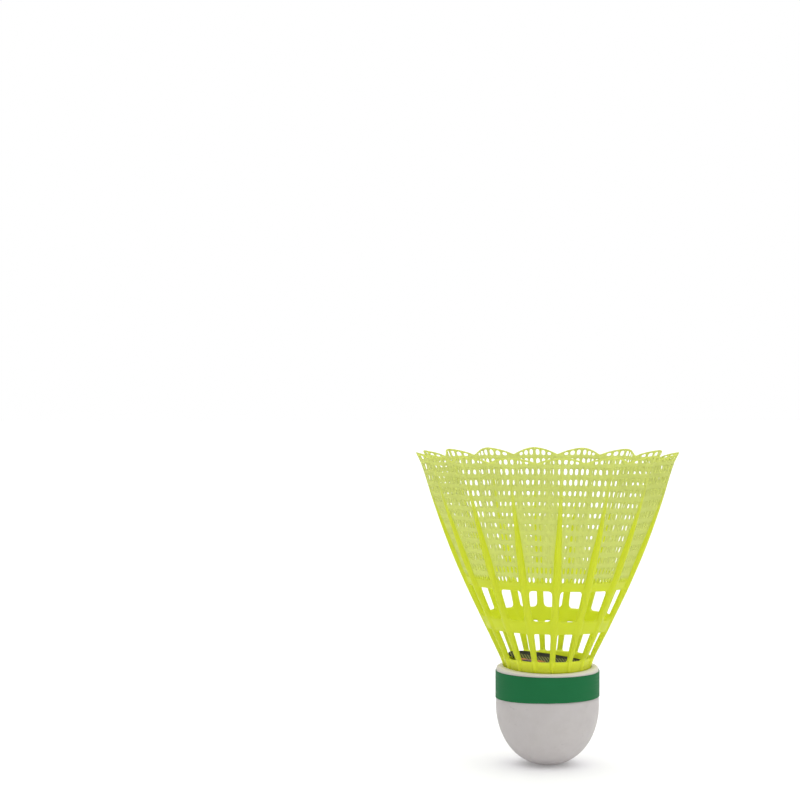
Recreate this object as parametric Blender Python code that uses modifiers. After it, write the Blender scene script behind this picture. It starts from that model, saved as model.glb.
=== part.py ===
"""Badminton shuttlecock: a one-piece moulded nylon skirt glued into a covered base.

Run with  blender --background --python part.py  or from Blender's text editor.
Frame: metres, +Z up along the axis of revolution, origin at the middle of the
small flat on the base's tip, one rib of the skirt lying in the -Y half plane.
"""
import math

import bmesh
import bpy
from mathutils import Matrix

MM = 0.001

# ---------------------------------------------------------------- dimensions
# All in millimetres. Heights are measured from the tip of the base.

# Base
BASE_RADIUS = 12.9          # side of the cover below the band
BASE_HEIGHT = 24.1          # flat top of the base
DOME_LENGTH = 15.8          # height over which the rounded nose reaches full radius
DOME_POWER = 2.15           # superellipse exponent of the nose
TIP_CUT = 0.19              # depth that is pressed flat at the tip
TOP_EDGE_RADIUS = 0.8       # rounded top edge
COVER_THICKNESS = 0.6
COVER_LIP_RADIUS = 11.0     # inner edge of the cover on the top face
CORE_GAP = 0.1              # core to cover, both turned with the same segments
TURN_SEGMENTS = 48

# Band
BAND_BOTTOM = 17.2
BAND_TOP = 23.4
BAND_INNER = 12.7
BAND_OUTER = 13.05
BAND_SEAT_RADIUS = 12.58    # the cover is pulled in under the band
BAND_SEAT_MARGIN = 0.1
BAND_OVERLAP_DEG = 14.0     # the tape laps over its own end
BAND_SEAM_DEG = 12.0        # direction of the overlap, from +X towards +Y

# Hub
GROOVE_INNER = 9.55
GROOVE_OUTER = 10.95
GROOVE_BOTTOM = 18.4
PLUG_TOP = 24.0             # middle of the core, inside the collar
GLUE_INNER = 9.65
GLUE_OUTER = 10.85
GLUE_BOTTOM = 18.5
GLUE_TOP = 19.2
WEIGHT_INNER = 5.0
WEIGHT_OUTER = 8.5
WEIGHT_BOTTOM = 24.15
WEIGHT_TOP = 24.85
LABEL_RADIUS = 9.8
LABEL_THICKNESS = 0.3
LABEL_HEIGHT = 26.1
LABEL_TILT_DEG = 6.0        # the disc has lifted on its -X side

# Skirt
RIBS = 16
SPIGOT_BOTTOM = 19.45
SPIGOT_WALL = 0.7
COLLAR_BOTTOM = 24.4        # ribs start just above the base
COLLAR_TOP = 26.85
RING2_BOTTOM = 34.2
RING2_TOP = 37.55
RING1_BOTTOM = 45.2
RING1_TOP = 47.3
LAST_THREAD = 75.7          # centre of the uppermost thread of the net
RIM_HEIGHT = 77.95          # crest of the scalloped rim, at each rib
SCALLOP_DEPTH = 1.55        # the rim drops this much midway between ribs
SCALLOP_POWER = 1.7
PLEAT = 0.075               # panels dip in by this share of the radius at the rim
LOWER_CORNER = 0.45         # corner radius of the lower windows
UPPER_CORNER = 0.9          # corner radius of the upper windows
WINDOW_MARGIN = 0.1

# Outside of the ribs: height, radius
OUTSIDE = ((24.1, 10.95), (26.85, 11.97), (34.5, 15.6), (45.0, 20.6), (55.0, 24.9),
           (65.0, 28.5), (75.0, 31.75), (77.95, 33.2))
# Width, height above the web, and depth of a rib: height, value
RIB_WIDTH = ((24.1, 0.8), (26.2, 0.95), (28.5, 1.3), (30.0, 1.3), (41.0, 1.55), (50.0, 1.75),
             (53.0, 1.7), (56.0, 1.5), (59.0, 1.2), (62.0, 0.92), (65.0, 0.75), (68.0, 0.52),
             (71.0, 0.42), (77.95, 0.38))
RIB_PROUD = ((24.1, 0.5), (26.85, 0.5), (30.0, 0.36), (37.5, 0.45), (45.0, 0.75), (48.0, 1.1),
             (52.0, 1.25), (55.0, 1.2), (60.0, 0.9), (64.0, 0.55), (69.0, 0.2), (77.95, 0.08))
RIB_DEPTH = ((24.1, 1.1), (26.85, 1.1), (28.5, 1.45), (37.5, 1.45), (45.0, 1.65), (50.0, 1.85),
             (55.0, 1.75), (60.0, 1.45), (66.0, 1.0), (77.95, 0.6))
# Thickness of the web between the ribs
WEB = ((24.1, 0.8), (26.85, 0.8), (34.2, 0.9), (45.0, 0.85), (47.3, 0.7), (49.5, 0.5), (77.95, 0.5))


# ------------------------------------------------------------------- helpers
def along(stations, z):
    """Value at height z of a straight-line table of (height, value)."""
    if z <= stations[0][0]:
        return stations[0][1]
    for (z0, v0), (z1, v1) in zip(stations, stations[1:]):
        if z <= z1:
            return v0 + (v1 - v0) * (z - z0) / (z1 - z0)
    return stations[-1][1]


def smooth_along(stations, z):
    """As along(), but a smooth curve through the stations (cubic Hermite)."""
    n = len(stations)
    slopes = []
    for k in range(n):
        a = stations[max(k - 1, 0)]
        b = stations[min(k + 1, n - 1)]
        slopes.append((b[1] - a[1]) / (b[0] - a[0]))
    z = min(max(z, stations[0][0]), stations[-1][0])
    for k in range(n - 1):
        z0, v0 = stations[k]
        z1, v1 = stations[k + 1]
        if z <= z1:
            d = z1 - z0
            t = (z - z0) / d
            return ((2 * t ** 3 - 3 * t ** 2 + 1) * v0 + (t ** 3 - 2 * t ** 2 + t) * d * slopes[k]
                    + (-2 * t ** 3 + 3 * t ** 2) * v1 + (t ** 3 - t ** 2) * d * slopes[k + 1])
    return stations[-1][1]


def material(name, rgb, roughness, metallic=0.0):
    mat = bpy.data.materials.new(name)
    mat.use_nodes = True
    shader = mat.node_tree.nodes["Principled BSDF"]
    shader.inputs["Base Color"].default_value = (*rgb, 1.0)
    shader.inputs["Roughness"].default_value = roughness
    shader.inputs["Metallic"].default_value = metallic
    mat.diffuse_color = (*rgb, 1.0)
    return mat


def add_mesh_object(name, mesh, mat, collection):
    obj = bpy.data.objects.new(name, mesh)
    obj.data.materials.append(mat)
    collection.objects.link(obj)
    return obj


def shade(mesh, degrees=35.0):
    mesh.shade_smooth()
    mesh.set_sharp_from_angle(angle=math.radians(degrees))


def turned(name, profile, mat, collection, closed, segments=TURN_SEGMENTS):
    """A turned piece: profile points (radius, height) run down the outer side."""
    mesh = bpy.data.meshes.new(name)
    verts = [(r * MM, 0.0, z * MM) for r, z in profile]
    edges = [(k, k + 1) for k in range(len(verts) - 1)]
    if closed:
        edges.append((len(verts) - 1, 0))
    mesh.from_pydata(verts, edges, [])
    obj = add_mesh_object(name, mesh, mat, collection)
    screw = obj.modifiers.new("Turn", "SCREW")
    screw.angle = 2 * math.pi
    screw.steps = segments
    screw.render_steps = segments
    screw.use_merge_vertices = True
    screw.merge_threshold = 0.00001
    screw.use_smooth_shade = True
    return obj


# ---------------------------------------------------------------------- base
def nose_radius(z):
    """Outer radius of the base's rounded nose at height z."""
    h = min(z + TIP_CUT, DOME_LENGTH)
    return BASE_RADIUS * (1 - ((DOME_LENGTH - h) / DOME_LENGTH) ** DOME_POWER) ** (1 / DOME_POWER)


def nose_points(inset, rows):
    """The nose's side from its full radius down to the flat tip, inset along its normal."""
    points = []
    top = DOME_LENGTH - TIP_CUT
    for k in range(rows + 1):
        z = top * (1 - math.sin(0.5 * math.pi * k / rows)) if k < rows else 0.0
        r = nose_radius(z)
        slope = (nose_radius(z + 0.05) - nose_radius(max(z - 0.05, 0.0))) / (0.05 + min(z, 0.05))
        length = math.hypot(1.0, slope)
        points.append((r - inset / length, z + inset * slope / length))
    return points


def cover_profile():
    """Closed loop: over the lip, down the outside, then up the inside."""
    seat_top = BAND_TOP + BAND_SEAT_MARGIN
    seat_bottom = BAND_BOTTOM - BAND_SEAT_MARGIN
    edge = BASE_RADIUS - TOP_EDGE_RADIUS - 0.15
    lip = [(COVER_LIP_RADIUS, BASE_HEIGHT)]
    for k in range(4):
        a = math.radians(90.0 - 30.0 * k)
        lip.append((edge + TOP_EDGE_RADIUS * math.cos(a), BASE_HEIGHT - 0.6 + 0.6 * math.sin(a)))
    side = [(BAND_SEAT_RADIUS, seat_top), (BAND_SEAT_RADIUS, seat_bottom),
            (BASE_RADIUS, seat_bottom)]
    inner_side = BAND_SEAT_RADIUS - COVER_THICKNESS
    inner = nose_points(COVER_THICKNESS, 9)
    nose = [(r, z) for r, z in reversed(inner) if r < inner_side - 0.05]
    start = nose[0]
    inside = [(0.0, start[1])] + nose
    inside += [(inner_side, DOME_LENGTH - TIP_CUT - 3.0), (inner_side, BASE_HEIGHT - COVER_THICKNESS),
               (COVER_LIP_RADIUS, BASE_HEIGHT - COVER_THICKNESS)]
    return lip + side + nose_points(0.0, 12) + [(0.0, 0.0)] + inside


def core_profile():
    """The core's outline from the plug's top, through the groove, and down the outside."""
    inset = COVER_THICKNESS + CORE_GAP
    side = BAND_SEAT_RADIUS - inset
    shoulder = BASE_HEIGHT - inset
    nose = [(r, z) for r, z in nose_points(inset, 9) if r < side - 0.05]
    return ([(0.0, PLUG_TOP), (GROOVE_INNER - 0.3, PLUG_TOP), (GROOVE_INNER, PLUG_TOP - 0.3),
             (GROOVE_INNER, GROOVE_BOTTOM), (GROOVE_OUTER, GROOVE_BOTTOM),
             (GROOVE_OUTER, shoulder), (side, shoulder), (side, DOME_LENGTH - TIP_CUT - 3.0)]
            + nose + [(0.0, nose[-1][1])])


def make_band(mat, collection):
    """Tape wrapped once round the base, its last stretch lapped over its first."""
    thick = BAND_OUTER - BAND_INNER
    steps = TURN_SEGMENTS + 2
    lap = math.radians(BAND_OVERLAP_DEG)
    total = 2 * math.pi + lap
    bm = bmesh.new()
    bmesh.ops.create_grid(bm, x_segments=steps, y_segments=1, size=1.0)
    for v in bm.verts:
        u = 0.5 * (v.co.x + 1.0)
        angle = u * total
        # climbs over the first layer just before the lap begins
        rise = min(max((angle - (2 * math.pi - 0.5 * lap)) / (0.4 * lap), 0.0), 1.0)
        r = BAND_OUTER + (thick + 0.06) * rise
        z = BAND_TOP if v.co.y > 0 else BAND_BOTTOM
        a = angle + math.radians(BAND_SEAM_DEG) - 0.5 * lap
        v.co = (r * math.cos(a) * MM, r * math.sin(a) * MM, z * MM)
    mesh = bpy.data.meshes.new("speed_band")
    bm.to_mesh(mesh)
    bm.free()
    obj = add_mesh_object("speed_band", mesh, mat, collection)
    solid = obj.modifiers.new("Tape", "SOLIDIFY")
    solid.thickness = thick * MM
    solid.offset = -1.0
    solid.use_even_offset = True
    shade(mesh)
    return obj


# --------------------------------------------------------------------- skirt
def rim_height(share):
    """Height of the rim; share is 0 on a rib and 1 midway between two ribs."""
    return RIM_HEIGHT - SCALLOP_DEPTH * share ** SCALLOP_POWER


def pleat(z, share):
    """Factor on the radius: the net is pleated, deepest at the rim between ribs."""
    up = min(max((z - RING1_TOP) / (RIM_HEIGHT - SCALLOP_DEPTH - RING1_TOP), 0.0), 1.0)
    return 1.0 - PLEAT * up ** 1.5 * 0.5 * (1.0 - math.cos(math.pi * share))


def window_rows(bottom, top, corner):
    """Heights inside a window at which its rounded corners are followed."""
    return [bottom + 0.29 * corner, bottom + corner, top - corner, top - 0.29 * corner]


def corner_shift(z, bottom, top, corner):
    """How far a window's side edge bends towards the panel's middle near its ends."""
    d = min(z - bottom, top - z)
    if d >= corner:
        return 0.0
    return corner - math.sqrt(max(corner ** 2 - (corner - max(d, 0.0)) ** 2, 0.0))


LOWER_ROWS = window_rows(COLLAR_TOP, RING2_BOTTOM, LOWER_CORNER)
UPPER_ROWS = window_rows(RING2_TOP, RING1_BOTTOM, UPPER_CORNER)
NET_ROWS = [52.5, 58.0, 64.0, 70.0, LAST_THREAD]
ROWS = ([SPIGOT_BOTTOM, COLLAR_BOTTOM, COLLAR_BOTTOM + 0.3, COLLAR_TOP] + LOWER_ROWS
        + [RING2_BOTTOM, RING2_TOP] + UPPER_ROWS + [RING1_BOTTOM, RING1_TOP] + NET_ROWS
        + [RIM_HEIGHT])
# Across one sector: middle of a panel, window edge, rib foot, rib crown, and back
COLUMNS = (-4, -3, -2, -1, 1, 2, 3, 4)


def skirt_point(row, column):
    """Outer and inner radius, angle and height of one point of the skirt's net of lines."""
    z = ROWS[row]
    half_pitch = math.pi / RIBS
    outside = smooth_along(OUTSIDE, z)
    width = along(RIB_WIDTH, z)
    proud = along(RIB_PROUD, z)
    depth = along(RIB_DEPTH, z)
    kind = abs(column)
    half_panel = outside * half_pitch
    in_window = False
    if kind == 1:
        arc = 0.5 * width - 0.08
    elif kind == 2:
        arc = 0.5 * width + 0.06
    elif kind == 3:
        foot = 0.5 * width + 0.06 + WINDOW_MARGIN
        if z <= COLLAR_TOP:
            arc = foot + LOWER_CORNER
        elif z < RING2_BOTTOM:
            in_window = True
            arc = foot + corner_shift(z, COLLAR_TOP, RING2_BOTTOM, LOWER_CORNER)
        elif z <= RING2_TOP:
            arc = foot + (LOWER_CORNER if z < RING2_BOTTOM + 0.1 else UPPER_CORNER)
        elif z < RING1_BOTTOM:
            in_window = True
            arc = foot + corner_shift(z, RING2_TOP, RING1_BOTTOM, UPPER_CORNER)
        elif z <= RING1_BOTTOM + 0.1:
            arc = foot + UPPER_CORNER
        else:
            arc = 0.5 * half_panel
    else:
        arc = half_panel
    share = min(arc / half_panel, 1.0)
    if row == len(ROWS) - 1:
        z = rim_height(share)
        outside = smooth_along(OUTSIDE, z)
    if z < COLLAR_BOTTOM + 0.2:
        outside = smooth_along(OUTSIDE, z)
        outer = outside - proud
        inner = outer - SPIGOT_WALL
    else:
        outer = outside - (0.0 if kind == 1 else proud)
        if kind == 1:
            inner = outside - depth
        elif in_window or (kind == 2 and (COLLAR_TOP < z < RING2_BOTTOM or RING2_TOP < z < RING1_BOTTOM)):
            inner = outside - depth
        else:
            inner = outside - proud - along(WEB, z)
    factor = pleat(z, share) if z > RING1_TOP else 1.0
    angle = math.copysign(share * half_pitch, column)
    return outer * factor, outer * factor - (outer - inner), angle, z


def make_skirt(mat, collection):
    """One moulding: spigot, collar, sixteen ribs, two rings and the pleated web."""
    columns = len(COLUMNS) - 1
    rows = len(ROWS) - 1
    bm = bmesh.new()
    bmesh.ops.create_grid(bm, x_segments=columns, y_segments=rows, size=1.0)
    depth_of = {}
    for v in bm.verts:
        i = round(0.5 * (v.co.x + 1.0) * columns)
        j = round(0.5 * (v.co.y + 1.0) * rows)
        outer, inner, angle, z = skirt_point(j, COLUMNS[i])
        a = angle - 0.5 * math.pi
        v.co = (outer * math.cos(a) * MM, outer * math.sin(a) * MM, z * MM)
        depth_of[v.index] = (i, j)
    bm.verts.ensure_lookup_table()
    # open the windows between the ribs
    holes = []
    for f in bm.faces:
        cells = [depth_of[v.index] for v in f.verts]
        i = min(c[0] for c in cells)
        j = min(c[1] for c in cells)
        z = 0.5 * (ROWS[j] + ROWS[j + 1])
        between = i in (0, columns - 1)
        if between and (COLLAR_TOP < z < RING2_BOTTOM or RING2_TOP < z < RING1_BOTTOM):
            holes.append(f)
    bmesh.ops.delete(bm, geom=holes, context="FACES")
    # keep each point's wall thickness while the sector is repeated round the axis
    wall = bm.verts.layers.float.new("wall")
    for v in bm.verts:
        i = j = None
    for v in bm.verts:
        if v.index in depth_of:
            i, j = depth_of[v.index]
            outer, inner, _angle, _z = skirt_point(j, COLUMNS[i])
            v[wall] = outer - inner
    bmesh.ops.spin(bm, geom=bm.verts[:] + bm.edges[:] + bm.faces[:], cent=(0, 0, 0),
                   axis=(0, 0, 1), angle=2 * math.pi * (RIBS - 1) / RIBS, steps=RIBS - 1,
                   use_duplicate=True)
    bmesh.ops.remove_doubles(bm, verts=bm.verts[:], dist=0.00001)
    # the inside is the same net of lines, drawn inwards by the wall's thickness
    result = bmesh.ops.extrude_face_region(bm, geom=bm.faces[:])
    for v in result["geom"]:
        if isinstance(v, bmesh.types.BMVert):
            r = math.hypot(v.co.x, v.co.y)
            k = (r - v[wall] * MM) / r
            v.co.x *= k
            v.co.y *= k
    bmesh.ops.recalc_face_normals(bm, faces=bm.faces[:])
    mesh = bpy.data.meshes.new("skirt")
    bm.to_mesh(mesh)
    bm.free()
    shade(mesh)
    return add_mesh_object("skirt", mesh, mat, collection)


# --------------------------------------------------------------------- label
def make_label(mat, collection):
    mesh = bpy.data.meshes.new("hub_label")
    bm = bmesh.new()
    bmesh.ops.create_cone(bm, cap_ends=True, segments=TURN_SEGMENTS,
                          radius1=LABEL_RADIUS * MM, radius2=LABEL_RADIUS * MM,
                          depth=LABEL_THICKNESS * MM)
    bm.to_mesh(mesh)
    bm.free()
    shade(mesh)
    obj = add_mesh_object("hub_label", mesh, mat, collection)
    obj.location = (0.0, 0.0, LABEL_HEIGHT * MM)
    obj.rotation_euler = (0.0, math.radians(LABEL_TILT_DEG), 0.0)
    return obj


def ring_profile(inner, outer, bottom, top, chamfer):
    return [(inner + chamfer, top), (outer - chamfer, top), (outer, top - chamfer),
            (outer, bottom + chamfer), (outer - chamfer, bottom), (inner + chamfer, bottom),
            (inner, bottom + chamfer), (inner, top - chamfer)]


def main():
    for obj in list(bpy.data.objects):
        bpy.data.objects.remove(obj, do_unlink=True)
    parts = bpy.data.collections.new("badminton_shuttlecock")
    bpy.context.scene.collection.children.link(parts)

    nylon = material("nylon", (0.61, 0.72, 0.03), 0.38)
    foam = material("core_foam", (0.62, 0.52, 0.36), 0.9)
    leather = material("cover_leatherette", (0.74, 0.72, 0.69), 0.6)
    tape = material("band_tape", (0.022, 0.16, 0.062), 0.45)
    steel = material("weight_steel", (0.56, 0.56, 0.57), 0.35, 1.0)
    paper = material("label_paper", (0.03, 0.035, 0.02), 0.5)
    glue = material("glue", (0.75, 0.7, 0.5), 0.3)

    turned("base_core", core_profile(), foam, parts, closed=False)
    turned("base_cover", cover_profile(), leather, parts, closed=True)
    make_band(tape, parts)
    turned("glue_bead", ring_profile(GLUE_INNER, GLUE_OUTER, GLUE_BOTTOM, GLUE_TOP, 0.15),
           glue, parts, closed=True)
    turned("weight_ring", ring_profile(WEIGHT_INNER, WEIGHT_OUTER, WEIGHT_BOTTOM, WEIGHT_TOP, 0.1),
           steel, parts, closed=True)
    make_label(paper, parts)
    make_skirt(nylon, parts)


main()
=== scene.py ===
"""Looks for the nylon badminton shuttlecock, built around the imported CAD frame."""
import math
import random

import bmesh
import bpy
import numpy as np
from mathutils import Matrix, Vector, noise


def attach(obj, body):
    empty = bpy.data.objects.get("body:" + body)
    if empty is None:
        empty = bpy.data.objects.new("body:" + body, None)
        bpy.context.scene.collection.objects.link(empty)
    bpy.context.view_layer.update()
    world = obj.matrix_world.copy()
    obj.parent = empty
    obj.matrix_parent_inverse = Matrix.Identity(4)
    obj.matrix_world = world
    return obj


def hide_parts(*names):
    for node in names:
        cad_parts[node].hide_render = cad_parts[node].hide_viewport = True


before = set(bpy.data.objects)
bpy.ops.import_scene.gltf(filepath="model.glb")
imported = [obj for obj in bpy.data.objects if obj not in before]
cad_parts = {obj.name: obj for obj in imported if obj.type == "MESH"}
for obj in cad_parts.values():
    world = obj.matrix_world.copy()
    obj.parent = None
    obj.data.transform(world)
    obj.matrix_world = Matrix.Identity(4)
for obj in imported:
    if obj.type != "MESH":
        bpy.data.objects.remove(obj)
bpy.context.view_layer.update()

MM = 0.001
scene = bpy.context.scene
scene.view_settings.view_transform = "Standard"
scene.view_settings.look = "None"

# ------------------------------------------------------------------ camera
DEPTH = 0.490            # camera to the shuttlecock's axis, along the view
FOCAL_PX = 1960.0
SIDE = 0.0369            # the axis lies this far right of the view's middle
HEIGHT = 0.096
RIB_TURN = math.radians(6.2)   # the nearest rib stands this far right of the sight line
PITCH = math.radians(0.585)

reach = math.hypot(DEPTH, SIDE)
cam_data = bpy.data.cameras.new("camera")
cam = bpy.data.objects.new("camera", cam_data)
scene.collection.objects.link(cam)
cam.location = (-reach * math.sin(RIB_TURN), -reach * math.cos(RIB_TURN), HEIGHT)
yaw = RIB_TURN - math.atan2(SIDE, DEPTH)
cam.rotation_euler = (math.radians(90) - PITCH, 0.0, -yaw)
cam_data.sensor_width = 36.0
cam_data.lens = 36.0 * FOCAL_PX / 800.0
cam_data.clip_start = 0.01
cam_data.clip_end = 20.0
scene.camera = cam

# ------------------------------------------------------------------ studio
# a bright overhead softbox in a dimmer room, which is lighter behind and to the right
SKY_LOW, SKY_HIGH, SKY_BACK, SKY_RIGHT = 0.34, 2.0, 0.24, 0.17
world = bpy.data.worlds.new("studio")
scene.world = world
world.use_nodes = True
wt = world.node_tree
bg = wt.nodes["Background"]
bg.inputs["Color"].default_value = (1.0, 1.0, 1.0, 1.0)
sky = wt.nodes.new("ShaderNodeTexCoord")
axes = wt.nodes.new("ShaderNodeSeparateXYZ")
wt.links.new(sky.outputs["Generated"], axes.inputs[0])
overhead = wt.nodes.new("ShaderNodeMapRange")
overhead.interpolation_type = "SMOOTHSTEP"
for key, value in (("From Min", 0.35), ("From Max", 0.95), ("To Min", SKY_LOW), ("To Max", SKY_HIGH)):
    overhead.inputs[key].default_value = value
wt.links.new(axes.outputs[2], overhead.inputs["Value"])
behind = wt.nodes.new("ShaderNodeMapRange")
for key, value in (("From Min", -1.0), ("From Max", 1.0), ("To Min", -SKY_BACK), ("To Max", SKY_BACK)):
    behind.inputs[key].default_value = value
wt.links.new(axes.outputs[1], behind.inputs["Value"])
beside = wt.nodes.new("ShaderNodeMapRange")
for key, value in (("From Min", -1.0), ("From Max", 1.0), ("To Min", -SKY_RIGHT), ("To Max", SKY_RIGHT)):
    beside.inputs[key].default_value = value
wt.links.new(axes.outputs[0], beside.inputs["Value"])
level = wt.nodes.new("ShaderNodeMath")
level.operation = "ADD"
wt.links.new(behind.outputs["Result"], level.inputs[0])
wt.links.new(beside.outputs["Result"], level.inputs[1])
total = wt.nodes.new("ShaderNodeMath")
total.operation = "ADD"
wt.links.new(overhead.outputs["Result"], total.inputs[0])
wt.links.new(level.outputs[0], total.inputs[1])
path = wt.nodes.new("ShaderNodeLightPath")
seen = wt.nodes.new("ShaderNodeMix")
seen.data_type = "FLOAT"
wt.links.new(path.outputs["Is Camera Ray"], seen.inputs[0])
wt.links.new(total.outputs[0], seen.inputs[2])
seen.inputs[3].default_value = 1.0
wt.links.new(seen.outputs[0], bg.inputs["Strength"])


def area_light(name, location, target, size, power, color=(1, 1, 1)):
    data = bpy.data.lights.new(name, "AREA")
    data.shape = "SQUARE"
    data.size = size
    data.energy = power
    data.color = color
    obj = bpy.data.objects.new(name, data)
    obj.location = location
    obj.rotation_euler = (Vector(target) - Vector(location)).to_track_quat("-Z", "Y").to_euler()
    scene.collection.objects.link(obj)
    return obj


area_light("key_right", (0.7, -0.55, 0.55), (0, 0, 0.04), 0.5, 0.30)
area_light("fill_low", (-0.05, -0.95, 0.14), (0, 0, 0.01), 0.35, 0.5)

# ------------------------------------------------------- node-tree helpers


class Tree:
    """A short way to write a node tree."""

    def __init__(self, name):
        self.mat = bpy.data.materials.new(name)
        self.mat.use_nodes = True
        self.nt = self.mat.node_tree
        self.shader = self.nt.nodes["Principled BSDF"]
        self.out = self.nt.nodes["Material Output"]
        self.coord = self.node("ShaderNodeTexCoord")

    def node(self, kind, **settings):
        n = self.nt.nodes.new(kind)
        for key, value in settings.items():
            setattr(n, key, value)
        return n

    def link(self, a, b):
        self.nt.links.new(a, b)

    def put(self, socket, value):
        if isinstance(value, bpy.types.NodeSocket):
            self.link(value, socket)
        elif value is not None:
            socket.default_value = value

    def noise(self, scale, detail=3.0, rough=0.5, vector=None, distortion=0.0):
        n = self.node("ShaderNodeTexNoise")
        n.inputs["Scale"].default_value = scale
        n.inputs["Detail"].default_value = detail
        n.inputs["Roughness"].default_value = rough
        n.inputs["Distortion"].default_value = distortion
        self.link(vector or self.coord.outputs["Object"], n.inputs["Vector"])
        return n.outputs["Fac"]

    def voronoi(self, scale, feature="F1", vector=None, output="Distance"):
        n = self.node("ShaderNodeTexVoronoi", feature=feature)
        n.inputs["Scale"].default_value = scale
        self.link(vector or self.coord.outputs["Object"], n.inputs["Vector"])
        return n.outputs[output]

    def stretch(self, scale):
        n = self.node("ShaderNodeMapping")
        n.inputs["Scale"].default_value = scale
        self.link(self.coord.outputs["Object"], n.inputs["Vector"])
        return n.outputs["Vector"]

    def ramp(self, fac, stops):
        n = self.node("ShaderNodeValToRGB")
        e = n.color_ramp.elements
        while len(e) > 1:
            e.remove(e[-1])
        e[0].position = stops[0][0]
        e[0].color = (*stops[0][1], 1.0)
        for pos, col in stops[1:]:
            s = e.new(pos)
            s.color = (*col, 1.0)
        self.link(fac, n.inputs["Fac"])
        return n.outputs["Color"]

    def range(self, fac, lo, hi, to_lo, to_hi):
        n = self.node("ShaderNodeMapRange")
        for key, v in (("From Min", lo), ("From Max", hi), ("To Min", to_lo), ("To Max", to_hi)):
            n.inputs[key].default_value = v
        self.link(fac, n.inputs["Value"])
        return n.outputs["Result"]

    def math(self, op, a, b=None, c=None):
        n = self.node("ShaderNodeMath", operation=op)
        for k, v in enumerate((a, b, c)):
            self.put(n.inputs[k], v)
        return n.outputs[0]

    def mix(self, fac, a, b, blend="MIX"):
        n = self.node("ShaderNodeMix", data_type="RGBA", blend_type=blend)
        self.put(n.inputs[0], fac)
        self.put(n.inputs[6], a if isinstance(a, bpy.types.NodeSocket) else (*a, 1.0))
        self.put(n.inputs[7], b if isinstance(b, bpy.types.NodeSocket) else (*b, 1.0))
        return n.outputs[2]

    def bump(self, height, strength, distance, normal=None):
        n = self.node("ShaderNodeBump")
        n.inputs["Strength"].default_value = strength
        n.inputs["Distance"].default_value = distance
        self.link(height, n.inputs["Height"])
        if normal is not None:
            self.link(normal, n.inputs["Normal"])
        return n.outputs["Normal"]

    def attribute(self, name):
        n = self.node("ShaderNodeAttribute", attribute_name=name)
        return n.outputs["Fac"]

    def separate(self, vector=None):
        n = self.node("ShaderNodeSeparateXYZ")
        self.link(vector or self.coord.outputs["Object"], n.inputs[0])
        return n.outputs


def srgb(r, g, b):
    out = []
    for c in (r, g, b):
        c /= 255.0
        out.append(c / 12.92 if c <= 0.04045 else ((c + 0.055) / 1.055) ** 2.4)
    return tuple(out)


# --------------------------------------------------------------- materials
def nylon_material():
    t = Tree("nylon_fluorescent")
    body = t.attribute("body")        # 1 on ribs, rings and collar, 0 on the fine net
    cloud = t.noise(55.0, 2.0)
    thick = t.mix(cloud, (0.65, 0.70, 0.034), (0.71, 0.75, 0.05))
    thin = t.mix(cloud, (0.62, 0.655, 0.265), (0.68, 0.715, 0.325))
    color = t.mix(body, thin, thick)
    # the collar is backed by the core, so less light goes through it; its colour is also mixed towards a lighter
    # yellow, painted light standing in for the shade that the ribs and the flaring skirt above cast on the collar
    collar = t.range(t.separate()[2], 0.0266, 0.0278, 1.0, 0.0)
    color = t.mix(collar, color, (0.82, 0.89, 0.032))
    flow = t.noise(900.0, 2.0, vector=t.stretch((1.0, 1.0, 0.18)))
    t.link(color, t.shader.inputs["Base Color"])
    t.link(t.range(flow, 0.3, 0.7, 0.30, 0.46), t.shader.inputs["Roughness"])
    t.shader.inputs["IOR"].default_value = 1.53
    t.shader.inputs["Specular IOR Level"].default_value = 0.38
    normal = t.bump(flow, 0.25, 0.00006)
    normal = t.bump(t.noise(160.0, 2.0), 0.2, 0.0003, normal)
    t.link(normal, t.shader.inputs["Normal"])
    glow = t.node("ShaderNodeBsdfTranslucent")
    t.link(t.mix(body, (0.84, 0.88, 0.43), (0.88, 0.95, 0.05)), glow.inputs["Color"])
    both = t.node("ShaderNodeMixShader")
    through = t.math("SUBTRACT", t.range(body, 0.0, 1.0, 0.74, 0.48), t.math("MULTIPLY", collar, 0.26))
    t.link(through, both.inputs[0])
    t.link(t.shader.outputs[0], both.inputs[1])
    t.link(glow.outputs[0], both.inputs[2])
    t.link(both.outputs[0], t.out.inputs["Surface"])
    return t.mat


def leatherette_material():
    t = Tree("leatherette_off_white")
    cloud = t.noise(70.0, 4.0, 0.6)
    blotch = t.noise(260.0, 3.0, 0.6)
    color = t.mix(t.range(cloud, 0.3, 0.7, 0.0, 1.0), srgb(196, 191, 190), srgb(203, 198, 197))
    color = t.mix(t.range(blotch, 0.45, 0.8, 0.0, 0.30), color, srgb(178, 172, 169))
    # the turned-over top is a little creamier
    z = t.separate()[2]
    cream = t.range(z, 0.0233, 0.0239, 0.0, 1.0)
    color = t.mix(cream, color, srgb(218, 213, 200))
    # a few faint smudges from handling
    smudge = t.range(t.noise(310.0, 2.0, 0.7, vector=t.stretch((1.0, 1.0, 1.6))), 0.66, 0.74, 0.0, 0.22)
    color = t.mix(smudge, color, srgb(140, 137, 134))
    t.link(color, t.shader.inputs["Base Color"])
    grain = t.voronoi(2600.0)
    fine = t.noise(5200.0, 2.0)
    height = t.math("ADD", t.math("MULTIPLY", grain, 0.6), t.math("MULTIPLY", fine, 0.4))
    normal = t.bump(height, 0.35, 0.00005)
    normal = t.bump(t.noise(120.0, 2.0), 0.15, 0.0006, normal)
    t.link(normal, t.shader.inputs["Normal"])
    t.link(t.range(blotch, 0.2, 0.8, 0.52, 0.66), t.shader.inputs["Roughness"])
    t.shader.inputs["IOR"].default_value = 1.45
    t.shader.inputs["Specular IOR Level"].default_value = 0.35
    return t.mat


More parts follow.
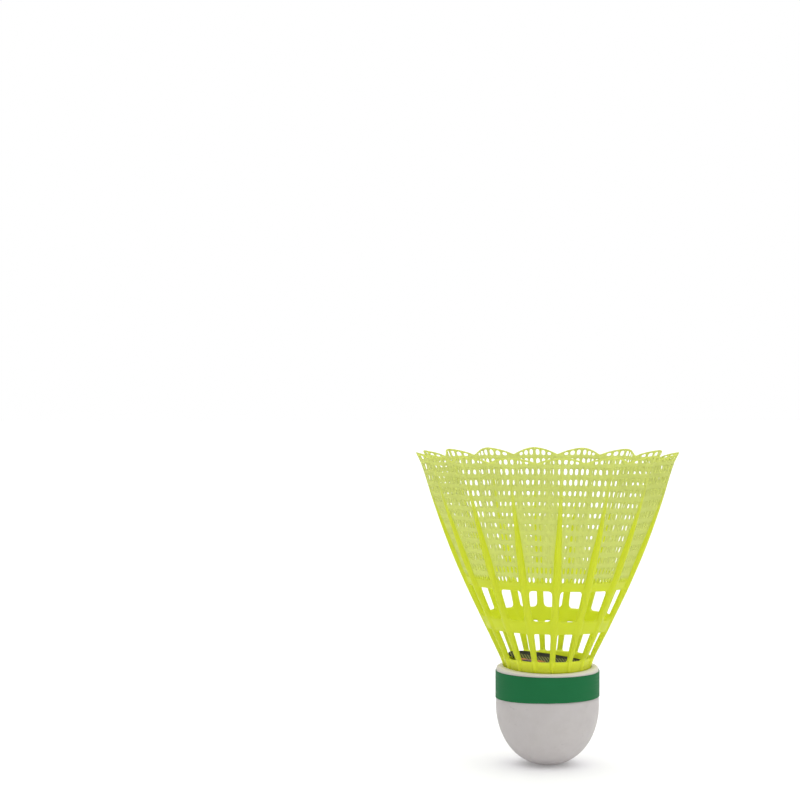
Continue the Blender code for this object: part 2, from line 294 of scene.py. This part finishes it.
def tape_material():
    t = Tree("tape_green")
    cloud = t.noise(140.0, 3.0)
    color = t.mix(cloud, (0.0135, 0.145, 0.049), (0.017, 0.165, 0.058))
    streak = t.noise(700.0, 2.0, vector=t.stretch((0.25, 0.25, 3.0)))
    color = t.mix(t.range(streak, 0.55, 0.75, 0.0, 0.25), color, (0.016, 0.185, 0.066))
    t.link(color, t.shader.inputs["Base Color"])
    t.link(t.range(streak, 0.3, 0.7, 0.48, 0.62), t.shader.inputs["Roughness"])
    normal = t.bump(streak, 0.2, 0.00004)
    normal = t.bump(t.noise(90.0, 2.0), 0.2, 0.0004, normal)
    t.link(normal, t.shader.inputs["Normal"])
    t.shader.inputs["IOR"].default_value = 1.5
    t.shader.inputs["Specular IOR Level"].default_value = 0.07
    return t.mat


def label_material():
    """Dark card printed with plain diagonal hatching and a few coloured patches."""
    t = Tree("label_print")
    wave = t.node("ShaderNodeTexWave", wave_type="BANDS", bands_direction="X")
    wave.inputs["Scale"].default_value = 430.0
    wave.inputs["Distortion"].default_value = 0.3
    t.link(t.coord.outputs["Object"], wave.inputs["Vector"])
    hatch = t.range(wave.outputs["Fac"], 0.45, 0.6, 0.0, 1.0)
    border = t.separate()[1]           # the printed patches lie along one edge
    teeth = t.math("ADD", border, t.math("MULTIPLY", wave.outputs["Fac"], 0.0022))
    hatch = t.math("MULTIPLY", hatch, t.range(teeth, 0.0052, 0.0046, 0.0, 1.0))
    dark = t.mix(hatch, (0.004, 0.004, 0.004), (0.17, 0.175, 0.05))
    near = t.range(border, -0.0035, -0.0055, 0.0, 1.0)
    cells = t.node("ShaderNodeTexVoronoi", feature="F1")
    cells.inputs["Scale"].default_value = 380.0
    t.link(t.coord.outputs["Object"], cells.inputs["Vector"])
    pick = t.separate(cells.outputs["Color"])
    violet = t.math("MULTIPLY", near, t.range(pick[0], 0.55, 0.57, 0.0, 1.0))
    orange = t.math("MULTIPLY", near, t.range(pick[1], 0.86, 0.88, 0.0, 1.0))
    color = t.mix(t.math("MULTIPLY", violet, 0.8), dark, (0.12, 0.08, 0.21))
    color = t.mix(t.math("MULTIPLY", orange, 0.9), color, (0.62, 0.20, 0.04))
    t.link(color, t.shader.inputs["Base Color"])
    fibre = t.noise(2500.0, 3.0)
    t.link(t.range(fibre, 0.3, 0.7, 0.6, 0.75), t.shader.inputs["Roughness"])
    t.shader.inputs["Specular IOR Level"].default_value = 0.12
    t.link(t.bump(fibre, 0.2, 0.00003), t.shader.inputs["Normal"])
    return t.mat


def cork_material():
    t = Tree("cork_agglomerate")
    grains = t.node("ShaderNodeTexVoronoi", feature="F1")
    grains.inputs["Scale"].default_value = 900.0
    t.link(t.coord.outputs["Object"], grains.inputs["Vector"])
    pick = t.separate(grains.outputs["Color"])[0]
    color = t.ramp(pick, [(0.0, srgb(120, 82, 50)), (0.5, srgb(176, 132, 86)), (1.0, srgb(206, 164, 112))])
    t.link(color, t.shader.inputs["Base Color"])
    edge = t.voronoi(900.0, "DISTANCE_TO_EDGE")
    t.link(t.bump(edge, 0.6, 0.0002), t.shader.inputs["Normal"])
    t.link(t.range(pick, 0.0, 1.0, 0.8, 0.95), t.shader.inputs["Roughness"])
    return t.mat


def steel_material():
    t = Tree("steel_stamped")
    lines = t.noise(1800.0, 3.0, vector=t.stretch((1.0, 0.12, 1.0)))
    t.link(t.mix(lines, (0.46, 0.46, 0.47), (0.62, 0.62, 0.63)), t.shader.inputs["Base Color"])
    t.shader.inputs["Metallic"].default_value = 1.0
    t.link(t.range(lines, 0.3, 0.7, 0.26, 0.42), t.shader.inputs["Roughness"])
    t.link(t.bump(lines, 0.25, 0.00003), t.shader.inputs["Normal"])
    return t.mat


def glue_material():
    t = Tree("glue_cured")
    cloud = t.noise(400.0, 3.0)
    t.link(t.mix(cloud, (0.70, 0.62, 0.38), (0.80, 0.75, 0.55)), t.shader.inputs["Base Color"])
    t.link(t.range(cloud, 0.3, 0.7, 0.18, 0.34), t.shader.inputs["Roughness"])
    t.link(t.bump(cloud, 0.4, 0.0002), t.shader.inputs["Normal"])
    return t.mat


def floor_material():
    t = Tree("floor_white")
    cloud = t.noise(3.0, 2.0)
    t.link(t.mix(cloud, (0.83, 0.83, 0.84), (0.85, 0.85, 0.86)), t.shader.inputs["Base Color"])
    t.shader.inputs["Roughness"].default_value = 0.7
    t.shader.inputs["Specular IOR Level"].default_value = 0.2
    # a table of white acrylic, lit faintly from below
    t.shader.inputs["Emission Color"].default_value = (1.0, 1.0, 1.0, 1.0)
    t.shader.inputs["Emission Strength"].default_value = 0.15
    return t.mat


# -------------------------------------------------------------- geometry
def along(stations, z):
    if z <= stations[0][0]:
        return stations[0][1]
    for (z0, v0), (z1, v1) in zip(stations, stations[1:]):
        if z <= z1:
            return v0 + (v1 - v0) * (z - z0) / (z1 - z0)
    return stations[-1][1]


def smooth_along(stations, z):
    n = len(stations)
    slopes = []
    for k in range(n):
        a = stations[max(k - 1, 0)]
        b = stations[min(k + 1, n - 1)]
        slopes.append((b[1] - a[1]) / (b[0] - a[0]))
    z = min(max(z, stations[0][0]), stations[-1][0])
    for k in range(n - 1):
        z0, v0 = stations[k]
        z1, v1 = stations[k + 1]
        if z <= z1:
            d = z1 - z0
            t = (z - z0) / d
            return ((2 * t ** 3 - 3 * t ** 2 + 1) * v0 + (t ** 3 - 2 * t ** 2 + t) * d * slopes[k]
                    + (-2 * t ** 3 + 3 * t ** 2) * v1 + (t ** 3 - t ** 2) * d * slopes[k + 1])
    return stations[-1][1]


def mesh_object(name, verts, faces, mat, smooth=True):
    mesh = bpy.data.meshes.new(name)
    mesh.from_pydata([tuple(v) for v in verts], [], [tuple(int(i) for i in f) for f in faces])
    mesh.validate()
    mesh.update()
    if smooth:
        mesh.shade_smooth()
    obj = bpy.data.objects.new(name, mesh)
    scene.collection.objects.link(obj)
    mesh.materials.append(mat)
    return obj


RIBS = 16
OUTSIDE = ((24.1, 10.95), (26.85, 11.97), (34.5, 15.6), (45.0, 20.6), (55.0, 24.9),
           (65.0, 28.5), (75.0, 31.75), (77.95, 33.2))
RIB_WIDTH = ((24.1, 0.8), (26.2, 0.95), (28.5, 1.3), (30.0, 1.3), (41.0, 1.55), (50.0, 1.75), (53.0, 1.7), (56.0, 1.5), (59.0, 1.2),
             (62.0, 0.92), (65.0, 0.75), (68.0, 0.52), (71.0, 0.42), (77.95, 0.38))
RIB_PROUD = ((24.15, 0.2), (24.5, 0.5), (25.1, 0.68), (26.85, 0.62), (30.0, 0.36), (37.5, 0.45), (45.0, 0.75),
             (48.0, 1.1), (52.0, 1.25), (55.0, 1.2), (60.0, 0.9), (64.0, 0.55), (69.0, 0.2), (77.95, 0.03))
SPIGOT_INSET = 0.44
RIB_DEPTH = ((24.1, 1.1), (26.85, 1.1), (28.5, 1.45), (37.5, 1.45), (45.0, 1.65), (50.0, 1.75), (55.0, 1.65),
             (60.0, 1.35), (66.0, 0.9), (77.95, 0.55))
WEB = ((24.1, 0.8), (26.85, 0.8), (34.2, 0.9), (45.0, 0.85), (47.3, 0.7), (49.0, 0.38), (77.95, 0.36))
SPIGOT_BOTTOM, COLLAR_TOP = 19.45, 26.85
RING2_BOTTOM, RING2_TOP = 34.2, 37.55
RING1_BOTTOM, RING1_TOP = 45.2, 47.3
LAST_THREAD, THREAD_PITCH, THREADS = 75.7, 2.664, 11
THREAD_TALL = ((47.3, 0.9), (52.0, 1.0), (66.0, 1.06), (72.5, 1.0), (75.7, 0.78), (77.95, 0.78))
THREAD_WIDE = ((47.3, 0.56), (60.0, 0.60), (70.0, 0.57), (77.95, 0.46))
RIM_HEIGHT, SCALLOP, SCALLOP_POWER, RIM_TALL = 77.95, 1.55, 1.7, 0.46
PLEAT = 0.075
LOWER_CORNER, UPPER_CORNER = 0.45, 0.9
HALF = math.pi / RIBS


def pleat(z, share):
    up = min(max((z - RING1_TOP) / (RIM_HEIGHT - SCALLOP - RING1_TOP), 0.0), 1.0)
    return 1.0 - PLEAT * up ** 1.5 * 0.5 * (1.0 - math.cos(math.pi * share))


def corner_shift(z, bottom, top, corner):
    d = max(min(z - bottom, top - z), 0.0)
    if d >= corner:
        return 0.0
    return corner - math.sqrt(max(corner ** 2 - (corner - d) ** 2, 0.0))


def skirt_rows():
    """(height, zone) of every line round the skirt, from the spigot's foot to the rim."""
    rows = [(SPIGOT_BOTTOM, "spigot"), (SPIGOT_BOTTOM + 0.3, "spigot"), (22.0, "spigot"),
            (23.8, "spigot"), (24.18, "collar"), (24.55, "collar"), (25.2, "collar"),
            (COLLAR_TOP - 0.3, "collar"), (COLLAR_TOP, "collar")]

    def window(bottom, top, corner):
        for d in (0.3 * corner, corner, 0.5 * (top - bottom)):
            rows.append((bottom + d, "window"))
        for d in (corner, 0.3 * corner):
            rows.append((top - d, "window"))

    window(COLLAR_TOP, RING2_BOTTOM, LOWER_CORNER)
    rows.extend([(RING2_BOTTOM, "ring"), (RING2_BOTTOM + 0.3, "ring"),
                 (RING2_TOP - 0.3, "ring"), (RING2_TOP, "ring")])
    window(RING2_TOP, RING1_BOTTOM, UPPER_CORNER)
    rows.extend([(RING1_BOTTOM, "ring"), (RING1_BOTTOM + 0.3, "ring"),
                 (RING1_TOP - 0.3, "net"), (RING1_TOP, "net")])
    for n in reversed(range(THREADS)):
        z = LAST_THREAD - THREAD_PITCH * n
        rows.append((z - 0.5 * along(THREAD_TALL, z), "net"))
        rows.append((z + 0.5 * along(THREAD_TALL, z), "net"))
    rows.append((RIM_HEIGHT - RIM_TALL, "rim_low"))
    rows.append((RIM_HEIGHT, "rim_top"))
    return rows


def wob(x, y, z):
    return noise.noise(Vector((x, y, z)))


def build_skirt(mat):
    rows = skirt_rows()
    names = ["M", "L4", "R3", "L3", "R2", "L2", "R1", "L1", "edge", "foot", "crown"]
    order = [(-1, n) for n in names] + [(1, n) for n in reversed(names[1:])]
    per = len(order)                          # 21 lines in each sector
    cols = per * RIBS
    pitch = 2 * HALF / 8.0
    outer = np.zeros((len(rows), cols, 3))
    inner = np.zeros((len(rows), cols, 3))
    body = np.zeros((len(rows), cols))
    firm = np.zeros((len(rows), cols))        # how square the holes' corners stay
    hole_w = np.zeros((len(rows), cols))      # width of the cell to the right of this line
    for j, (z0, zone) in enumerate(rows):
        out0 = smooth_along(OUTSIDE, z0)
        width = along(RIB_WIDTH, z0)
        proud = along(RIB_PROUD, z0)
        depth = along(RIB_DEPTH, z0)
        web = along(WEB, z0)
        crown = 0.5 * width - 0.09
        foot = 0.5 * width + 0.05
        if zone in ("spigot", "collar", "ring", "window"):
            edge = foot + 0.09
            if zone == "window":
                if z0 < RING2_BOTTOM:
                    edge += corner_shift(z0, COLLAR_TOP, RING2_BOTTOM, LOWER_CORNER)
                else:
                    edge += corner_shift(z0, RING2_TOP, RING1_BOTTOM, UPPER_CORNER)
            else:
                edge += LOWER_CORNER if z0 < RING2_BOTTOM + 0.1 else UPPER_CORNER
                if RING2_BOTTOM + 0.1 < z0 < RING2_TOP - 0.1:
                    edge = foot + 0.09 + 0.5 * (LOWER_CORNER + UPPER_CORNER)
            mid = HALF * out0
            lines = ["edge", "L1", "R1", "L2", "R2", "L3", "R3", "L4", "M"]
            at = {n: edge + (mid - edge) * k / 8.0 for k, n in enumerate(lines)}
            at["crown"], at["foot"] = crown, foot
        else:
            half = 0.5 * along(THREAD_WIDE, z0)
            at = {"crown": crown, "foot": foot, "edge": max(foot + 0.07, half)}
            if zone in ("rim_low", "rim_top") or width < 0.5:
                at["crown"] = 0.5 * width - 0.06
            for k in (1, 2, 3):
                at["L%d" % k] = k * pitch * out0 - half
                at["R%d" % k] = k * pitch * out0 + half
            at["L4"] = 4 * pitch * out0 - half
            at["M"] = 4 * pitch * out0
            at["L1"] = max(at["L1"], at["edge"] + 0.06)
            at["R1"] = max(at["R1"], at["L1"] + 0.06)
        for s in range(RIBS):
            rib_angle = -0.5 * math.pi + 2 * HALF * s
            tall = 0.16 * wob(3.1 * s, 0.7, 2.0) + 0.2 * max(math.sin(rib_angle), 0.0)
            for i, (side, n) in enumerate(order):
                c = s * per + i
                arc = at[n]
                share = min(arc / (HALF * out0), 1.0)
                z = z0
                if zone in ("rim_low", "rim_top"):
                    drop = SCALLOP * share ** SCALLOP_POWER
                    z = RIM_HEIGHT - drop + tall * (1 - share)
                    if zone == "rim_low":
                        z = max(z - RIM_TALL, LAST_THREAD + 0.5 * along(THREAD_TALL, LAST_THREAD) + 0.05)
                out = smooth_along(OUTSIDE, z)
                sharp = n in ("crown",)
                r_out = out - (0.0 if sharp else proud)
                if zone == "spigot":
                    r_out = out - SPIGOT_INSET
                if sharp and zone != "spigot":
                    t = depth
                elif n in ("foot", "edge") and zone == "window":
                    t = depth - proud
                else:
                    t = web
                if zone == "collar":
                    t = along(WEB, z0) + (proud if sharp else 0.0)
                f = pleat(z, share) if z > RING1_TOP else 1.0
                angle = rib_angle + side * share * HALF
                # hand-made unevenness of the moulding: fractions of a thread
                if zone == "net" and z0 > RING1_TOP + 0.1:
                    z += 0.12 * wob(6 * math.cos(angle), 6 * math.sin(angle), 0.11 * round(z0))
                    angle += 0.0045 * wob(40 * math.cos(angle), 40 * math.sin(angle), 0.21 * z0)
                lift = min(max((z0 - 40.0) / 38.0, 0.0), 1.0) ** 2
                bend = 0.35 * lift * wob(1.4 * math.cos(angle), 1.4 * math.sin(angle), 5.0)
                r_o = r_out * f + bend
                # one side of the skirt has settled lower between the collar and the rim
                u = r_o * math.cos(angle) + 2.0
                settle = along(((27.5, 0.0), (34.0, 0.8), (46.0, 1.0), (60.0, 0.8), (74.0, 0.0)), z0)
                z -= 0.035 * settle * 0.5 * (u + math.sqrt(u * u + 9.0))
                r_i = r_o - t
                outer[j, c] = (r_o * math.cos(angle), r_o * math.sin(angle), z)
                inner[j, c] = (r_i * math.cos(angle), r_i * math.sin(angle), z)
                if zone in ("spigot", "collar", "ring", "window"):
                    b = 1.0
                elif n in ("crown", "foot"):
                    b = along(((47.3, 1.0), (61.0, 1.0), (66.0, 0.65), (71.0, 0.25), (77.95, 0.0)), z0)
                elif zone in ("rim_low", "rim_top"):
                    b = 0.2
                else:
                    b = 0.0 if z0 > RING1_TOP + 0.1 else 0.9
                body[j, c] = b
                if n not in ("crown", "foot") and (zone == "rim_low" or (zone == "net" and z0 > RING1_TOP + 0.1)):
                    firm[j, c] = 0.5
    # which cells are material
    keep = np.ones((len(rows) - 1, cols), bool)
    hole_cells = (1, 3, 5, 7, 13, 15, 17, 19)
    for j in range(len(rows) - 1):
        (z0, k0), (z1, k1) = rows[j], rows[j + 1]
        for s in range(RIBS):
            for i in range(per):
                c = s * per + i
                if k0 == "window" or k1 == "window":
                    keep[j, c] = 8 <= i <= 12
                elif k0 == "net" and z1 - z0 > 1.2 and i in hole_cells:
                    a, b = outer[j, c], outer[j, (c + 1) % cols]
                    a2, b2 = outer[j + 1, c], outer[j + 1, (c + 1) % cols]
                    wide = 0.5 * (np.linalg.norm(a - b) + np.linalg.norm(a2 - b2))
                    tall = min(np.linalg.norm(a2 - a), np.linalg.norm(b2 - b))
                    keep[j, c] = wide < 0.28 or tall < 0.42
    n_r = len(rows)
    n = n_r * cols
    verts = np.concatenate([outer.reshape(-1, 3), inner.reshape(-1, 3)]) * MM
    faces = []

    def at_(j, c):
        return j * cols + c % cols

    for j in range(n_r - 1):
        for c in range(cols):
            if not keep[j, c]:
                continue
            a, b, d, e = at_(j, c), at_(j, c + 1), at_(j + 1, c + 1), at_(j + 1, c)
            faces.append((a, b, d, e))
            faces.append((a + n, e + n, d + n, b + n))
            if j == 0 or not keep[j - 1, c]:
                faces.append((a, a + n, b + n, b))
            if j == n_r - 2 or not keep[j + 1, c]:
                faces.append((e, d, d + n, e + n))
            if not keep[j, (c - 1) % cols]:
                faces.append((a, e, e + n, a + n))
            if not keep[j, (c + 1) % cols]:
                faces.append((b, b + n, d + n, d))
    used = np.zeros(2 * n, bool)
    for f in faces:
        used[list(f)] = True
    remap = np.cumsum(used) - 1
    verts = verts[used]
    faces = [tuple(remap[list(f)]) for f in faces]
    obj = mesh_object("skirt_moulding", verts, faces, mat)
    values = np.concatenate([body.reshape(-1), body.reshape(-1)])[used]
    attr = obj.data.attributes.new("body", "FLOAT", "POINT")
    attr.data.foreach_set("value", values.astype(np.float32))
    values = np.concatenate([firm.reshape(-1), firm.reshape(-1)])[used]
    crease = obj.data.attributes.new("crease_vert", "FLOAT", "POINT")
    crease.data.foreach_set("value", values.astype(np.float32))
    sub = obj.modifiers.new("Round", "SUBSURF")
    sub.levels = 1
    sub.render_levels = 1
    return obj


# base ------------------------------------------------------------------
BASE_RADIUS, BASE_HEIGHT = 12.9, 24.1
DOME_LENGTH, DOME_POWER, TIP_CUT = 15.8, 2.15, 0.19
BAND_BOTTOM, BAND_TOP = 17.2, 23.4


def nose_radius(z):
    h = min(z + TIP_CUT, DOME_LENGTH)
    return BASE_RADIUS * (1 - ((DOME_LENGTH - h) / DOME_LENGTH) ** DOME_POWER) ** (1 / DOME_POWER)


def lathe(name, profile, mat, segments=160, move=None):
    """Closed turned solid from a closed loop of (radius, height), points on the axis welded."""
    bm = bmesh.new()
    rings = []
    for r, z in profile:
        if r < 1e-6:
            rings.append([bm.verts.new((0, 0, z * MM))])
            continue
        ring = []
        for k in range(segments):
            a = 2 * math.pi * k / segments
            p = Vector((r * math.cos(a), r * math.sin(a), z))
            if move:
                p = move(p)
            ring.append(bm.verts.new(p * MM))
        rings.append(ring)
    count = len(rings)
    for q in range(count):
        a, b = rings[q], rings[(q + 1) % count]
        if len(a) == 1 and len(b) == 1:
            continue
        for k in range(segments):
            k2 = (k + 1) % segments
            if len(a) == 1:
                bm.faces.new((a[0], b[k], b[k2]))
            elif len(b) == 1:
                bm.faces.new((a[k], b[0], a[k2]))
            else:
                bm.faces.new((a[k], b[k], b[k2], a[k2]))
    bmesh.ops.recalc_face_normals(bm, faces=bm.faces[:])
    mesh = bpy.data.meshes.new(name)
    bm.to_mesh(mesh)
    bm.free()
    mesh.shade_smooth()
    mesh.set_sharp_from_angle(angle=math.radians(60))
    mesh.materials.append(mat)
    obj = bpy.data.objects.new(name, mesh)
    scene.collection.objects.link(obj)
    return obj


def build_cover(mat):
    edge = BASE_RADIUS - 0.95
    loop = [(11.0, BASE_HEIGHT - 0.12), (11.08, BASE_HEIGHT - 0.03), (11.3, BASE_HEIGHT), (11.6, BASE_HEIGHT)]
    for k in range(9):
        a = math.radians(90 - 11.25 * k)
        loop.append((edge + 0.85 * math.cos(a), BASE_HEIGHT - 0.7 + 0.7 * math.sin(a)))
    loop += [(12.66, BAND_TOP + 0.02), (12.6, BAND_TOP - 0.15), (12.6, 20.4), (12.6, BAND_BOTTOM + 0.2),
             (12.68, BAND_BOTTOM + 0.02), (12.82, BAND_BOTTOM - 0.25), (12.88, BAND_BOTTOM - 0.7)]
    top = DOME_LENGTH - TIP_CUT
    rows = 40
    for k in range(rows + 1):
        z = top * (1 - math.sin(0.5 * math.pi * k / rows))
        if k == rows:
            z = 0.0
        loop.append((nose_radius(z), z))
    loop += [(1.6, 0.0), (0.0, 0.0), (0.0, 0.45), (2.4, 0.6)]
    for k in range(1, 14):
        z = 0.75 + (top - 0.75) * (1 - math.cos(0.5 * math.pi * k / 13))
        loop.append((nose_radius(z) - 0.62, z))
    loop = [p for p in loop if True]
    loop += [(11.98, 16.5), (11.98, BASE_HEIGHT - 0.6), (11.0, BASE_HEIGHT - 0.6)]

    def uneven(p):
        """Slight dents of the covered core, which the inside follows as well."""
        r = math.hypot(p.x, p.y)
        if r < 2.6:
            return p
        # the turned-over lip stands a little higher away from the front
        lip = min(max((p.z - BAND_TOP) / 0.5, 0.0), 1.0) * min(max((p.y + 11.0) / 8.0, 0.0), 1.0)
        p = Vector((p.x, p.y, p.z + 0.45 * lip))
        low = min(max((p.z - 0.3) / 2.0, 0.0), 1.0)
        d = 0.05 * wob(p.x * 0.22, p.y * 0.22, p.z * 0.22) + 0.02 * wob(p.x * 0.8, p.y * 0.8, p.z * 0.8 + 9)
        k = 1 + low * d / r
        return Vector((p.x * k, p.y * k, p.z))

    return lathe("base_cover_skin", loop, mat, 160, uneven)


def build_band(mat):
    """One turn of tape with its end lapped over its start, edges a touch uneven."""
    thick = 0.22
    seam = math.radians(14.0)
    lap = math.radians(16.0)
    total = 2 * math.pi + lap
    steps = 200
    section = [(-1, 0), (-1, 0.35), (-0.985, 1), (-0.5, 1), (0, 1), (0.5, 1), (0.985, 1), (1, 0.35), (1, 0), (0, 0)]
    verts, faces = [], []
    m = len(section)
    for k in range(steps + 1):
        u = k / steps
        a = u * total
        rise = min(max((a - (2 * math.pi - 0.30 * lap)) / (0.30 * lap), 0.0), 1.0)
        rise = rise * rise * (3 - 2 * rise)
        base = 12.78 + rise * (thick + 0.03)
        ang = a + seam - 0.5 * lap
        skew = 0.05 * math.sin(ang + 0.6) + 0.05 * rise
        for h, t in section:
            wave = 0.05 * wob(4 * math.cos(ang), 4 * math.sin(ang), 3.0 * h + (7.0 if rise > 0 else 0.0))
            z = 0.5 * (BAND_TOP + BAND_BOTTOM) + 0.5 * (BAND_TOP - BAND_BOTTOM) * h + (wave if abs(h) > 0.9 else 0.0) + skew
            # wound a little askew: the lower edge runs down towards -X
            z -= 0.5 * (1 - h) * (0.06 + 0.5 * max(-math.cos(ang), 0.0) ** 1.5)
            r = base + thick * t + 0.015 * wob(3 * math.cos(ang), 3 * math.sin(ang), 2 * h)
            verts.append((r * math.cos(ang) * MM, r * math.sin(ang) * MM, z * MM))
    for k in range(steps):
        for q in range(m):
            a, b = k * m + q, k * m + (q + 1) % m
            faces.append((a, b, b + m, a + m))
    faces.append(tuple(range(m - 1, -1, -1)))
    faces.append(tuple(steps * m + q for q in range(m)))
    obj = mesh_object("tape_band", verts, faces, mat)
    bm = bmesh.new()
    bm.from_mesh(obj.data)
    bmesh.ops.recalc_face_normals(bm, faces=bm.faces[:])
    bm.to_mesh(obj.data)
    bm.free()
    obj.data.shade_smooth()
    obj.data.set_sharp_from_angle(angle=math.radians(45))
    return obj


def build_label(mat):
    """A thin card disc that has lifted on one side and curled a little."""
    rings, segs = 14, 96
    thick, radius = 0.22, 9.8
    bm = bmesh.new()
    tilt = math.tan(math.radians(6.0))

    def place(r, a, side):
        x, y = r * math.cos(a), r * math.sin(a)
        curl = 0.10 * (r / radius) ** 2 * math.cos(2 * (a - 0.4)) + 0.05 * wob(x * 0.3, y * 0.3, 1.0)
        lifted = max((-0.75 * x + 0.66 * y) / radius, 0.0)
        z = 26.1 - tilt * x + curl + 0.45 * lifted ** 2 + side * 0.5 * thick
        return bm.verts.new((x * math.cos(math.radians(6.0)) * MM, y * MM, z * MM))

    layers = []
    for side in (1, -1):
        centre = place(0.0, 0.0, side)
        loops = []
        for q in range(1, rings + 1):
            loops.append([place(radius * q / rings, 2 * math.pi * k / segs, side) for k in range(segs)])
        layers.append((centre, loops))
    for centre, loops in layers:
        for k in range(segs):
            k2 = (k + 1) % segs
            bm.faces.new((centre, loops[0][k], loops[0][k2]))
            for q in range(rings - 1):
                bm.faces.new((loops[q][k], loops[q + 1][k], loops[q + 1][k2], loops[q][k2]))
    top, low = layers[0][1][-1], layers[1][1][-1]
    for k in range(segs):
        k2 = (k + 1) % segs
        bm.faces.new((top[k], low[k], low[k2], top[k2]))
    bmesh.ops.recalc_face_normals(bm, faces=bm.faces[:])
    mesh = bpy.data.meshes.new("label_card")
    bm.to_mesh(mesh)
    bm.free()
    mesh.shade_smooth()
    mesh.set_sharp_from_angle(angle=math.radians(45))
    mesh.materials.append(mat)
    obj = bpy.data.objects.new("label_card", mesh)
    scene.collection.objects.link(obj)
    return obj


# ---------------------------------------------------------------- assemble
skirt = build_skirt(nylon_material())
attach(skirt, "root")
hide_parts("skirt")

cover = build_cover(leatherette_material())
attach(cover, "root")
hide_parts("base_cover")

band = build_band(tape_material())
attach(band, "root")
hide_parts("speed_band")

label = build_label(label_material())
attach(label, "root")
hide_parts("hub_label")

for node, mat in (("base_core", cork_material()), ("weight_ring", steel_material()), ("glue_bead", glue_material())):
    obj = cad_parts[node]
    obj.data.materials.clear()
    obj.data.materials.append(mat)

# ------------------------------------------------------------------- floor
bm = bmesh.new()
bmesh.ops.create_grid(bm, x_segments=8, y_segments=8, size=4.0)
mesh = bpy.data.meshes.new("floor")
bm.to_mesh(mesh)
bm.free()
mesh.materials.append(floor_material())
floor = bpy.data.objects.new("floor", mesh)
scene.collection.objects.link(floor)
